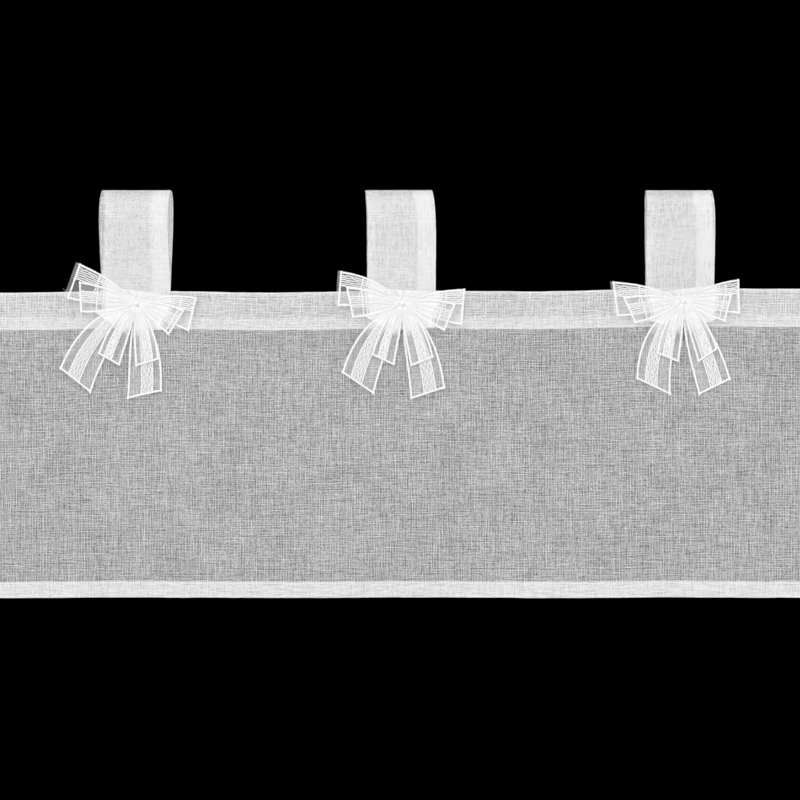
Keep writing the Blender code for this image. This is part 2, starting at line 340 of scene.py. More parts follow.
# Stage, camera and light
FLOOR_HALF = 0.7
FLOOR_PLACE = (0.0, 0.1, -0.95)
FLOOR_COLOR = (0.8, 0.8, 0.8, 1.0)
FLOOR_ROUGHNESS = 0.8
VIEW_PIXELS = 800
PIXELS_PER_METRE = 1358
VIEW_DISTANCE = 2.8
VIEW_CENTRE = (-0.0004, -0.1421)
SENSOR_WIDTH = 36.0
CLIP_END = 20.0
WORLD_LIGHT = 0.70
LAMP_AIM = (0.0, 0.0, -0.14)
LAMPS = (("key", (-0.9, -1.9, 0.9), 1.0, 20.0), ("fill", (1.3, -1.7, 0.1), 1.2, 10.0))

rng = random.Random(5)
scene = bpy.context.scene


# How the cloth hangs

def ease(share):
    """Runs from 0 to 1 with a soft start and end."""
    share = min(max(share, 0.0), 1.0)
    return (1 - math.cos(math.pi * share)) / 2


def lift_at(x):
    """How far the tabs lift the heading above its set height at x."""
    for left, right in zip(TABS, TABS[1:]):
        if x <= right.middle:
            break
    share = (x - left.middle) / (right.middle - left.middle)
    return left.lift + (right.lift - left.lift) * max(share, 0.0)


def sag_at(x):
    """How far the heading sags at x: nothing at a tab, most half way between two."""
    middles = [tab.middle for tab in TABS]
    inside = [pair for pair in zip(middles, middles[1:]) if pair[0] <= x <= pair[1]]
    if inside:
        start, end = inside[0]
        return SAG * ease(2 * min(x - start, end - x) / (end - start))
    overhang = min(abs(x - middle) for middle in middles)
    return SAG * ease(overhang / (PANEL_WIDTH / 2 - max(middles)))


def hang(x, y, z):
    """Moves a point of the flat curtain to where it hangs."""
    share = (z - BOTTOM) / PANEL_DROP
    sag = sag_at(x) * (SAG_LEFT_AT_HEM + (1 - SAG_LEFT_AT_HEM) * share)
    long_wave, short_wave = (math.sin(2 * math.pi * x / length) for length in WAVE_LENGTHS)
    sway = WAVE * max(1 - share, 0.0) * (long_wave + short_wave / 2)
    return Vector((x, y + sway, z + lift_at(x) * share - sag))


def ruffle(x, z, unevenness):
    """Smooth unevenness at a place, from its amount, its length and its seed."""
    amount, length, seed = unevenness
    return amount * noise.noise(Vector((x / length, z / length, seed)))


def hang_panel(x, y, z):
    """The same for the panel, with its small unevenness."""
    place = hang(x, y, z)
    place.y += ease((HEADING_FOOT - z) / FREE_CLOTH) * ruffle(x, z, FACE_RUFFLE)
    place.z += ruffle(x, 0.0, EDGE_RUFFLE) + ruffle(x, 0.0, EDGE_FRET)
    return place


# Lines and sections

def arc(centre, radius, start, end, steps):
    """Points of an arc in degrees, both ends included."""
    turns = [math.radians(start + (end - start) * step / steps) for step in range(steps + 1)]
    return [(centre[0] + radius * math.cos(turn), centre[1] + radius * math.sin(turn))
            for turn in turns]


def finer(points, step):
    """The same line with no two neighbours further apart than step."""
    line = [points[0]]
    for start, end in zip(points, points[1:]):
        parts = max(1, math.ceil(math.dist(start, end) / step - 1e-6))
        for part in range(1, parts + 1):
            line.append(tuple(a + (b - a) * part / parts for a, b in zip(start, end)))
    return line


def lengths(points):
    """Distance along the line from its first point to each point."""
    far = [0.0]
    for start, end in zip(points, points[1:]):
        far.append(far[-1] + math.dist(start, end))
    return far


def panel_section():
    """The folded section as (y, z) points, and which of them may carry the side hems."""
    over, under = LAYER, LAYER / 2
    foot = HEADING_FOOT + CLOTH / 2 + under
    heading_back = arc((1.5 * LAYER, foot), under, 180, 360, UNDER_STEPS)
    top_fold = arc((LAYER, TOP - CLOTH / 2 - over), over, 0, 180, OVER_STEPS)
    bottom_fold = arc((LAYER, BOTTOM + CLOTH / 2 + over), over, 180, 360, OVER_STEPS)
    hem_back = arc((1.5 * LAYER, HEM_TOP - CLOTH / 2 - under), under, 0, 180, UNDER_STEPS)
    before = finer([(LAYER, HEADING_FOOT + HEADING_TURN_IN), *heading_back, *top_fold,
                    (0.0, HEADING_FOOT - SIDE_HEM_CLEAR + GRID)], GRID)
    drop = finer([(0.0, HEADING_FOOT - SIDE_HEM_CLEAR), (0.0, HEM_TOP + SIDE_HEM_CLEAR)], GRID)
    after = finer([(0.0, HEM_TOP + SIDE_HEM_CLEAR - GRID), *bottom_fold, *hem_back,
                   (LAYER, HEM_TOP - HEM_TURN_IN)], GRID)
    return before + drop + after, range(len(before), len(before) + len(drop))


def panel_columns():
    """Across the panel as (x, y step), with the folded side hems, and the main columns."""
    under = LAYER / 2
    edge = PANEL_WIDTH / 2 - CLOTH / 2 - under
    right_fold = arc((edge, under), under, -90, 90, UNDER_STEPS)
    right = finer([*right_fold[1:], (PANEL_WIDTH / 2 - SIDE_HEM, LAYER)], GRID)
    left = [(-x, y) for x, y in reversed(right)]
    main_part = finer([(-edge, 0.0), (edge, 0.0)], GRID)
    return left + main_part + right, range(len(left), len(left) + len(main_part))


def tab_path(lift):
    """Middle line of the loop, up the front leg, over the top and down the back.

    Each point is (y, z, share), and share runs from 0 to 1 over the free part of the loop.
    """
    foot = HEADING_FOOT + TAB_END + lift
    parting = TOP + lift
    legs = []
    for leg in (LEG_FRONT, LEG_BACK):
        side = math.copysign(1, leg)
        end = 0.0 if side < 0 else 1.0
        line = [(*point, end) for point in finer([(leg, foot), (leg, parting)], GRID)[:-1]]
        for step in range(LOOP_STEPS + 1):
            z = parting + (LOOP_CREST - parting) * math.sin(math.pi / 2 * step / LOOP_STEPS)
            if z < 0:
                y = leg + (side * LOOP_HALF_DEPTH - leg) * ease(1 - z / parting)
            else:
                y = side * LOOP_HALF_DEPTH * math.sqrt(max(1 - (z / LOOP_CREST) ** 2, 0.0))
            line.append((y, z, end + step / LOOP_STEPS * (0.5 - end)))
        legs.append(line)
    front, back = legs
    return front + back[-2::-1]


# Putting meshes into the scene

def add_piece(name, mesh_data, finish):
    """Puts a finished bmesh into the scene as a piece that rides on the part."""
    mesh = bpy.data.meshes.new(name)
    bmesh.ops.recalc_face_normals(mesh_data, faces=mesh_data.faces)
    mesh_data.to_mesh(mesh)
    mesh_data.free()
    mesh.shade_smooth()
    mesh.materials.append(finish)
    piece = bpy.data.objects.new(name, mesh)
    scene.collection.objects.link(piece)
    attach(piece, "root")
    return piece


class Cloth:
    """Cloth laid in rows of spots, each a vertex and its place on the flat cloth."""

    def __init__(self, shade):
        self.mesh = bmesh.new()
        self.flat = self.mesh.loops.layers.uv.new("cloth")
        self.shade = self.mesh.verts.layers.float.new(shade)

    def spot(self, point, flat, shade):
        """A new spot, with its value of the shade that the material reads."""
        vert = self.mesh.verts.new(point)
        vert[self.shade] = shade
        return vert, flat

    def join(self, rows):
        """Faces between neighbouring rows, apart from where a spot is missing."""
        for row, beyond in zip(rows, rows[1:]):
            for index in range(len(row) - 1):
                corners = (row[index], row[index + 1], beyond[index + 1], beyond[index])
                if None in corners:
                    continue
                face = self.mesh.faces.new([vert for vert, _ in corners])
                for loop, (_, flat) in zip(face.loops, corners):
                    loop[self.flat].uv = flat


def skin(mesh_data, rings):
    """Joins rings of points into a closed tube."""
    made = [[mesh_data.verts.new(point) for point in ring] for ring in rings]
    for ring, beyond in zip(made, made[1:]):
        for index in range(len(ring)):
            beside = (index + 1) % len(ring)
            mesh_data.faces.new((ring[index], ring[beside], beyond[beside], beyond[index]))
    mesh_data.faces.new(made[0])
    mesh_data.faces.new(made[-1][::-1])


def cord(mesh_data, points, width, thick, sides=6, ripple=0.0, taper=0.6, swell=None):
    """A thread along points, flat to the front; ripple narrows every second ring."""
    rings = []
    for index, point in enumerate(points):
        along = points[min(index + 1, len(points) - 1)] - points[max(index - 1, 0)]
        across = along.cross(Vector((0, 1, 0))).normalized()
        out = across.cross(along).normalized()
        size = taper if index in (0, len(points) - 1) else 1 - ripple * (index % 2)
        size *= swell(point) if swell else 1.0
        ring = []
        for step in range(sides):
            turn = 2 * math.pi * (step + 0.5) / sides
            ring.append(point + across * (width / 2 * size * math.cos(turn))
                        + out * (thick / 2 * size * math.sin(turn)))
        rings.append(ring)
    skin(mesh_data, rings)


def stitches(mesh_data, place, length, face):
    """Short seam stitches; place(distance) is a point of the seam and face its outward way."""
    for number in range(int(length / STITCH_PITCH)):
        start = (number + STITCH_START) * STITCH_PITCH
        line = []
        for step in range(STITCH_STEPS + 1):
            part = step / STITCH_STEPS
            point = place(start + STITCH_LENGTH * STITCH_PITCH * part)
            line.append(point + face * (STITCH_RISE * math.sin(math.pi * part)))
        cord(mesh_data, line, 2 * STITCH_RADIUS, 2 * STITCH_RADIUS, sides=5)


# Materials

class Nodes:
    """Short calls for one material's node tree."""

    def __init__(self, name):
        self.material = bpy.data.materials.new(name)
        self.material.use_nodes = True
        self.tree = self.material.node_tree
        self.shader = self.tree.nodes["Principled BSDF"]

    def node(self, kind):
        return self.tree.nodes.new("ShaderNode" + kind)

    def feed(self, socket, value):
        """Sets a socket to a number, or links it to another node's socket."""
        if isinstance(value, bpy.types.NodeSocket):
            self.tree.links.new(value, socket)
        else:
            socket.default_value = value

    def math(self, operation, first, second=0.0, clamp=False):
        node = self.node("Math")
        node.operation = operation
        node.use_clamp = clamp
        self.feed(node.inputs[0], first)
        self.feed(node.inputs[1], second)
        return node.outputs[0]

    def plus(self, first, second):
        return self.math("ADD", first, second)

    def minus(self, first, second):
        return self.math("SUBTRACT", first, second)

    def times(self, first, second):
        return self.math("MULTIPLY", first, second)

    def shade(self, name):
        """A value that the mesh carries at its vertices."""
        node = self.node("Attribute")
        node.attribute_name = name
        return node.outputs["Fac"]

    def cloth_place(self):
        """Distance across and along the flat cloth, in metres."""
        node = self.node("UVMap")
        node.uv_map = "cloth"
        split = self.node("SeparateXYZ")
        self.feed(split.inputs[0], node.outputs["UV"])
        return split.outputs[0], split.outputs[1]

    def noise(self, x, y, seed, detail=0.0):
        join = self.node("CombineXYZ")
        self.feed(join.inputs[0], x)
        self.feed(join.inputs[1], y)
        join.inputs[2].default_value = seed
        node = self.node("TexNoise")
        node.inputs["Scale"].default_value = 1.0
        node.inputs["Detail"].default_value = detail
        self.feed(node.inputs["Vector"], join.outputs[0])
        return node.outputs["Fac"]

    def grain(self, per_metre, detail):
        """Noise over the piece itself, the same from front to back."""
        place = self.node("TexCoord")
        split = self.node("SeparateXYZ")
        self.feed(split.inputs[0], place.outputs["Object"])
        return self.noise(self.times(split.outputs[0], per_metre),
                          self.times(split.outputs[2], per_metre), 1.0, detail)

    def bump(self, height, distance, strength):
        node = self.node("Bump")
        node.inputs["Distance"].default_value = distance
        node.inputs["Strength"].default_value = strength
        self.feed(node.inputs["Height"], height)
        self.feed(self.shader.inputs["Normal"], node.outputs["Normal"])

    def tint(self, low, high, share):
        """Colour between two, by share."""
        node = self.node("Mix")
        node.data_type = "RGBA"
        self.feed(node.inputs["Factor"], share)
        node.inputs[6].default_value = (*low, 1.0)
        node.inputs[7].default_value = (*high, 1.0)
        self.feed(self.shader.inputs["Base Color"], node.outputs[2])

    def lets_through(self, alpha, share):
        """The alpha, lowered for light on its way to what lies behind the cloth."""
        rays = self.node("LightPath")
        light = self.math("MAXIMUM", rays.outputs["Is Shadow Ray"], rays.outputs["Is Diffuse Ray"])
        return self.times(alpha, self.minus(1.0, self.times(light, share)))

    def finish(self, roughness, **sockets):
        """The material, with the shader's other sockets given by name."""
        self.shader.inputs["Roughness"].default_value = roughness
        for name, value in sockets.items():
            self.feed(self.shader.inputs[name.replace("_", " ")], value)
        return self.material


def yarns(nodes, along, across, seed, cover, thicker):
    """Cover and height of the yarns that run one way: 1 on a yarn, 0 between two."""
    plus, minus, times = nodes.plus, nodes.minus, nodes.times
    waver = times(nodes.noise(times(along, WAVERS), times(across, WAVERS), seed), WAVER)
    row = plus(nodes.math("DIVIDE", across, YARN_PITCH), waver)
    number = nodes.math("ROUND", row)
    own = times(number, YARN_APART)
    stray = nodes.noise(times(along, STRAYS), own, seed + 9.0)
    aside = times(minus(stray, 0.5), STRAY)
    off = times(nodes.math("ABSOLUTE", minus(minus(row, number), aside)), 2.0)
    short = nodes.noise(times(along, SHORT_SLUBS), own, seed + 3.0, 1.0)
    long = nodes.noise(times(along, LONG_SLUBS), own, seed + 5.0, 1.0)
    drift = nodes.noise(times(along, DRIFTS), times(across, DRIFTS), seed + 7.0)
    uneven = minus(plus(short, long), 1.0)
    width = plus(times(uneven, SLUB), cover)
    width = plus(width, times(minus(drift, 0.5), DRIFT))
    thick = nodes.math("COSINE", times(number, 2 * math.pi / THICK_YARN))
    width = plus(width, times(thick, thicker))
    edge = nodes.math("DIVIDE", minus(width, off), YARN_SOFT)
    shown = nodes.math("ADD", edge, 0.5, clamp=True)
    height = minus(1.0, times(off, off))
    return shown, height


def voile(name):
    """Sheer linen-look voile: uneven white yarns both ways with open gaps between them."""
    nodes = Nodes(name)
    plus, minus, times = nodes.plus, nodes.minus, nodes.times
    across, along = nodes.cloth_place()
    # The pressed value thickens or thins the yarns; on the tabs it also carries painted shade and
    # a painted highlight
    cover = plus(nodes.shade("pressed"), YARN_COVER)
    weft, weft_height = yarns(nodes, across, along, 1.0, cover, THICKER_WEFT)
    warp, warp_height = yarns(nodes, along, across, 20.0, cover, THICKER_WARP)
    alpha = nodes.math("MAXIMUM", weft, warp)
    over = times(nodes.math("COSINE", times(across, math.pi / YARN_PITCH)),
                 nodes.math("COSINE", times(along, math.pi / YARN_PITCH)))
    rise = times(over, CROSSING_RISE)
    weft_top = times(weft, plus(weft_height, rise))
    warp_top = times(warp, minus(warp_height, rise))
    nodes.bump(nodes.math("MAXIMUM", weft_top, warp_top), *VOILE_BUMP)
    nodes.tint(*VOILE_TINTS, nodes.noise(times(across, FIBRES), times(along, FIBRES), 2.0, 2.0))
    return nodes.finish(VOILE_ROUGHNESS, Alpha=alpha)


def organza():
    """Very sheer organza, denser where it is gathered, with a fine square mesh."""
    nodes = Nodes("organza")
    times = nodes.times
    across, along = nodes.cloth_place()
    mesh_lines = []
    for way in (across, along):
        row = nodes.math("PINGPONG", nodes.math("DIVIDE", way, MESH_PITCH), 0.5)
        mesh_lines.append(nodes.math("SUBTRACT", 1.0, times(row, MESH_SHARP), clamp=True))
    weave = nodes.math("MAXIMUM", *mesh_lines)
    streak = nodes.noise(times(across, STREAKS[0]), times(along, STREAKS[1]), 4.0, 1.0)
    density = nodes.plus(times(streak, STREAK_DENSITY[0]), STREAK_DENSITY[1])
    dense = times(nodes.shade("gather"), density)
    alpha = nodes.math("ADD", times(weave, MESH_VEIL), dense, clamp=True)
    nodes.bump(nodes.plus(streak, weave), *ORGANZA_BUMP)
    nodes.tint(*ORGANZA_TINTS, streak)
    return nodes.finish(ORGANZA_ROUGHNESS, Alpha=nodes.lets_through(alpha, ORGANZA_LETS_THROUGH))


def thread():
    """White satin-stitch thread with a soft gloss and a fine twist."""
    nodes = Nodes("thread")
    twist = nodes.grain(TWISTS, 1.0)
    nodes.bump(twist, *THREAD_BUMP)
    nodes.tint(*THREAD_TINTS, twist)
    return nodes.finish(THREAD_ROUGHNESS, Sheen_Weight=THREAD_SHEEN)


def pearl_finish():
    """Pearl plastic: white with a clear coat and faint cloudiness."""
    nodes = Nodes("pearl")
    cloud = nodes.grain(CLOUDS, 2.0)
    nodes.bump(cloud, *PEARL_BUMP)
    nodes.tint(*PEARL_TINTS, cloud)
    return nodes.finish(PEARL_ROUGHNESS, Coat_Weight=PEARL_COAT[0], Coat_Roughness=PEARL_COAT[1])


# The panel

def panel_press(y, z):
    """How much closer the yarns look on the panel's folds, where they turn edge on."""
    fold = FOLD_PRESS * (1 - ease((TOP - z) / FOLD_REACH))
    fold += BOTTOM_PRESS * (1 - ease((z - BOTTOM) / FOLD_REACH))
    top = TOP_PRESS if z > TOP - TOP_BAND else 0.0
    hem = HEM_PRESS if z < HEM_TOP else 0.0
    foot = strip = 0.0
    if y > 0 and z > HEADING_FOOT - CLOTH:
        foot = FOOT_PRESS * (1 - ease((z - HEADING_FOOT) / FOLD_REACH))
        strip = STRIP_PRESS if z < HEADING_FOOT + HEADING_TURN_IN else 0.0
    return fold + foot + top + hem + strip


def build_panel(finish):
    """The whole panel: one sheet with its heading, bottom hem and side hems folded."""
    section, open_rows = panel_section()
    columns, main_columns = panel_columns()
    sheet = Cloth("pressed")
    rows = []
    for row, ((y, z), down) in enumerate(zip(section, lengths(section))):
        spots = []
        for column, ((x, step), across) in enumerate(zip(columns, lengths(columns))):
            spot = None
            if column in main_columns or row in open_rows:
                spot = sheet.spot(hang_panel(x, y + step, z), (across, down), panel_press(y, z))
            spots.append(spot)
        rows.append(spots)
    sheet.join(rows)
    return add_piece("panel_cloth", sheet.mesh, finish)


def build_seams(finish):
    """Seam stitches of the heading, the bottom hem and the side hems."""
    seams = bmesh.new()
    half = PANEL_WIDTH / 2 - SEAM_END
    front, back = Vector((0, -1, 0)), Vector((0, 1, 0))
    for z in (HEADING_FOOT + SEAM_INSETS["heading"], HEM_TOP - SEAM_INSETS["hem"]):
        for face, y in ((front, -STITCH_PROUD), (back, 2 * LAYER + STITCH_PROUD)):
            stitches(seams, lambda far: hang_panel(far - half, y, z), 2 * half, face)
    start = HEADING_FOOT - SEAM_END
    run = start - HEM_TOP - SEAM_END
    for side in (-1, 1):
        x = side * (PANEL_WIDTH / 2 - SIDE_HEM + SEAM_INSETS["side"])
        for face, y in ((front, -STITCH_PROUD), (back, LAYER + STITCH_PROUD)):
            stitches(seams, lambda far: hang_panel(x, y, start - far), run, face)
    return add_piece("panel_seams", seams, finish)


# The tabs

def tab_shape(tab, share, far):
    """Sideways shift and half width of a tab at a share of its free loop."""
    rise = math.sin(math.pi * share) ** CREST_SHARPNESS
    shift = tab.crest_shift * rise - tab.skew * math.sin(2 * math.pi * share)
    half = (TAB_WIDTH - tab.crest_pinch * rise - CLOTH) / 2
    return shift, half + ruffle(far, tab.middle, TAB_FRET)


def tab_ring(reach):
    """Round the pressed strip as (x, step out), finer at its seam edge on the right."""
    turn = LAYER / 2
    coarse = (2 * reach - SEAM_STRIP) / TAB_COLUMNS
    spots = [-reach + coarse * spot for spot in range(TAB_COLUMNS)]
    spots += [reach - SEAM_STRIP * (1 - spot / SEAM_COLUMNS) for spot in range(SEAM_COLUMNS + 1)]
    outer = [(x, turn) for x in spots]
    fold = arc((reach, 0.0), turn, 90, -90, UNDER_STEPS)[1:-1]
    inner = [(x, -step) for x, step in reversed(outer)]
    return [*outer, *fold, *inner, *[(-x, step) for x, step in reversed(fold)]]


def tab_point(path, index, x, step):
    """The point of the loop's path moved out of its middle line by step, at x."""
    before = path[max(index - 1, 0)]
    after = path[min(index + 1, len(path) - 1)]
    run = math.dist(before[:2], after[:2])
    y, z, _ = path[index]
    out_y, out_z = (after[1] - before[1]) / run, -(after[0] - before[0]) / run
    return Vector((x, y + out_y * step, z + out_z * step))


def tab_press(x, reach):
    """How much closer the yarns look across a tab, with its seam allowance on the right; on its
    left fold and the strip beside it, and in the groove inside its right edge, they thin out as
    painted shade.
    """
    inside = reach - x
    if inside < TAB_EDGE:
        return TAB_EDGE_PRESS
    # painted shade on the left fold and the strip beside it
    if x < TAB_FOLD - reach:
        return TAB_FOLD_PAINTED_SHADE
    if x < TAB_SIDE_STRIP - reach:
        return TAB_SIDE_PAINTED_SHADE
    # painted shade in the groove inside the right edge
    if SEAM_GROOVE[0] < inside < SEAM_GROOVE[1]:
        return TAB_GROOVE_PAINTED_SHADE
    return TAB_SEAM_PRESS if inside < SEAM_ALLOWANCE else TAB_PRESS


def crest_shade_and_highlight(z):
    """Painted shade and highlight on a loop's crest: the yarns thin out towards the top, a painted
    shade, and close up along the very top, where the cloth is seen edge on, partly a painted
    highlight.
    """
    painted_shade = CREST_PAINTED_SHADE * ease((z - CREST_PAINTED_SHADE_ZONE[0]) / CREST_PAINTED_SHADE_ZONE[1])
    return painted_shade + CREST_LINE_EDGE_ON_AND_HIGHLIGHT * ease((z - LOOP_CREST) / CREST_LINE + 1)


def build_tab(tab, finish, stitch_finish):
    """One tab's pressed double strip, and the stitches along its seam edge on both faces."""
    path = tab_path(tab.lift)
    sheet = Cloth("pressed")
    rows, edge_lines, girth = [], ([], []), None
    for index, far in enumerate(lengths([point[:2] for point in path])):
        z, share = path[index][1:]
        shift, half = tab_shape(tab, share, far)
        middle, reach = tab.middle + shift, half - LAYER / 2
        ring = tab_ring(reach)
        girth = girth or lengths(ring + ring[:1])
        bend = ruffle(far, tab.middle, TAB_BEND)
        spots = []
        for (x, step), around in zip(ring, girth):
            wrinkle = bend + ruffle(x * WRINKLES_ACROSS, far + tab.middle, TAB_WRINKLE)
            point = tab_point(path, index, middle + x, step + wrinkle)
            press = tab_press(x, reach) + crest_shade_and_highlight(z)
            spots.append(sheet.spot(point, (around + TAB_FLAT, far), press))
        rows.append([*spots, (spots[0][0], (girth[-1] + TAB_FLAT, far))])
        for line, face in zip(edge_lines, (1, -1)):
            line.append(tab_point(path, index, middle + half - TAB_STITCH_INSET,
                                  face * (LAYER / 2 + TAB_STITCH_PROUD)))
    sheet.join(rows)
    piece = add_piece(f"tab_{tab.name}_cloth", sheet.mesh, finish)
    seams = bmesh.new()
    for line in edge_lines:
        fine = finer([tuple(point) for point in line], TAB_STITCH_STEP)
        cord(seams, [Vector(point) for point in fine], *TAB_STITCH_SIZE, sides=5,
             ripple=TAB_STITCH_RIPPLE)
    seam = add_piece(f"tab_{tab.name}_seam", seams, stitch_finish)
    return piece, seam


# The bows

class Ribbon:
    """One ribbon of a bow layer.

    A point of it is given by share, from 0 at the hub's edge to 1 at the cut end, and by side,
    from -1 to 1 across it, anticlockwise. long and wide are its size in millimetres.
    """

    def __init__(self, tab, layer, number):
        self.aim, self.long, self.wide, self.slant, self.bend = RIBBONS[tab.name][layer][number]
        self.reach, self.width = self.long * MM, self.wide * MM
        self.bow, self.layer, self.number = tab.name, layer, number
        self.centre = (tab.middle + tab.bow_aside, TOP - BOW_DROP)
        self.kind = KINDS[number]
        self.outer = OUTER_SIDES[number]
        self.raw_ended = (number, layer) == RAW_ENDED
        self.root = self.share_at(ROOT_RADIUS)

    def share_at(self, distance):
        """The share at a distance from the bow's middle."""
        return (distance - HUB_RADIUS) / (self.reach - HUB_RADIUS)

    def side_at(self, from_outer):
        """The side at a share of the width from the outer edge."""
        return self.outer * (1 - 2 * from_outer)

    def place(self, share, side):
        """The point as it hangs."""
        half_width = self.width / 2
        opening = math.tan(math.radians(FAN_ANGLE)) / half_width
        along = HUB_RADIUS + (self.reach - HUB_RADIUS) * share
        half = half_width * math.tanh(opening * along) / math.tanh(opening * self.reach)
        inside = min(max(share, 0.0), 1.0)
        turn = math.radians(self.aim + self.bend * (1 - inside))
        cut = turn + math.radians(self.slant) * inside ** 2
        x = along * math.cos(turn) - half * side * math.sin(cut)
        z = along * math.sin(turn) + half * side * math.cos(cut)
        depth = PLEAT_SWELL * math.sin(math.pi * inside ** PLEAT_EARLY) + PLEAT_LEFT * inside
        fold = depth * math.cos(math.pi * PLEATS * (side + 1))
        lift = WING_LIFT * (x / WING_REACH) ** 2
        fall = TAIL_FALL * ease((-z - TAIL_FALL_START) / (TAIL_FALL_END - TAIL_FALL_START))
        y = BASES[self.layer] - PLEAT_DEPTH * (1 + fold) / 2 - lift + fall
        return hang(self.centre[0] + x, y, self.centre[1] + z)

    def line(self, start, end, step, wander, seed):
        """Points from start to end, each (share, side), a step apart; wander is in metres."""
        along, across = (end[0] - start[0]) * self.long, (end[1] - start[1]) * self.wide / 2
        length = math.hypot(along, across) * MM
        count = max(4, round(length / step))
        points = []
        for index in range(count + 1):
            part = index / count
            share = start[0] + (end[0] - start[0]) * part
            aside = noise.noise(Vector((part * length / WANDER_LENGTH, seed, 0)))
            side = start[1] + (end[1] - start[1]) * part + wander / (self.width / 2) * aside
            points.append(self.place(share, side))
        return points

    def gather(self, far, from_outer):
        """How dense the organza is at a distance from the bow's middle and a share across."""
        if self.kind == WING:
            reach = CROSS_REACH[self.layer]
            fade_start, fade_length = INNER_CROSS[self.bow] - WING_FADE[0], WING_FADE[1]
            lines = WING_FINE[self.layer]
            band = (0.0, WING_BORDER["back"]) if self.layer == "back" else (
                WING_BORDER["front"], lines[-1])
        else:
            outside = self.layer == "back" and from_outer < TAIL_BORDERS[0]
            reach = OUTER_FAN_REACH if outside else TAIL_FAN_REACH
            fade_start, fade_length = TAIL_FADE
            band = TAIL_BORDERS
        dense = 1 - ease((far - fade_start * reach) / (fade_length * reach))
        veil = BAND_VEIL[self.kind] if band[0] < from_outer < band[1] else 0.0
        return max(veil, GATHER_VEIL * (far < reach) + GATHER_DENSE * dense)


def build_webs(sheet, ribbons):
    """The gathered cloth between neighbouring ribbons."""
    centre_x, centre_z = ribbons[0].centre
    first, apart, step = WEB_FLAT
    for ribbon, beside in zip(ribbons, ribbons[1:] + ribbons[:1]):
        ends = WEB_REACH[ribbon.layer][ribbon.number]
        rows = []
        for row in range(WEB_STEPS + 1):
            part = row / WEB_STEPS
            edges = [piece.place(piece.root + (end - piece.root) * part, side)
                     for piece, side, end in zip((ribbon, beside), (1.0, -1.0), ends)]
            spots = []
            for column in range(WEB_STEPS + 1):
                point = edges[0].lerp(edges[1], column / WEB_STEPS)
                far = math.hypot(point.x - centre_x, point.z - centre_z)
                point.y += WEB_PUCKER * math.sin(column * math.pi / 2) * part
                flat = (first + apart * ribbon.number + column * step, far)
                spots.append(sheet.spot(point, flat, WEB_DENSE))
            rows.append(spots)
        sheet.join(rows)


def build_ribbon(sheet, ribbon):
    """One ribbon's organza; where its end is raw it goes on a little past its stitches."""
    steps_along, steps_across = RIBBON_STEPS
    tip = ribbon.share_at(ribbon.reach + RAW_EDGE) if ribbon.raw_ended else 1
    rows = []
    for row in range(steps_along + 1):
        share = ribbon.root + (tip - ribbon.root) * row / steps_along
        far = HUB_RADIUS + (ribbon.reach - HUB_RADIUS) * share
        spots = []
        for column in range(steps_across + 1):
            side = 2 * column / steps_across - 1
            dense = ribbon.gather(far, (1 - side * ribbon.outer) / 2)
            flat = (side * ribbon.width / 2 + ribbon.number, far)
            spots.append(sheet.spot(ribbon.place(share, side), flat, dense))
        rows.append(spots)
    sheet.join(rows)


def build_hub(sheet, centre, base):
    """The gathered middle: a small puckered disc."""
    drawn, places = HUB_UNEVEN
    rows = []
    for ring in range(HUB_RINGS + 1):
        share = ring / HUB_RINGS
        reach = HUB_DISC * share
        spots = []
        for spoke in range(HUB_SPOKES):
            turn = 2 * math.pi * spoke / HUB_SPOKES
            uneven = drawn * math.sin(places * turn)
            pucker = HUB_PUCKER * share * math.sin(HUB_FOLDS * turn + uneven)
            y = base - PLEAT_DEPTH / 2 + pucker - HUB_CROWN * (1 - share)
            point = hang(centre[0] + reach * math.cos(turn), y, centre[1] + reach * math.sin(turn))
            spots.append(sheet.spot(point, (HUB_FLAT + reach * turn, reach), HUB_DENSE))
        rows.append(spots + spots[:1])
    sheet.join(rows)


def build_ground(ribbons, finish):
    """All the organza of one layer."""
    first = ribbons[0]
    sheet = Cloth("gather")
    build_webs(sheet, ribbons)
    for ribbon in ribbons:
        build_ribbon(sheet, ribbon)
    build_hub(sheet, first.centre, BASES[first.layer])
    return add_piece(f"bow_{first.bow}_{first.layer}_organza", sheet.mesh, finish)


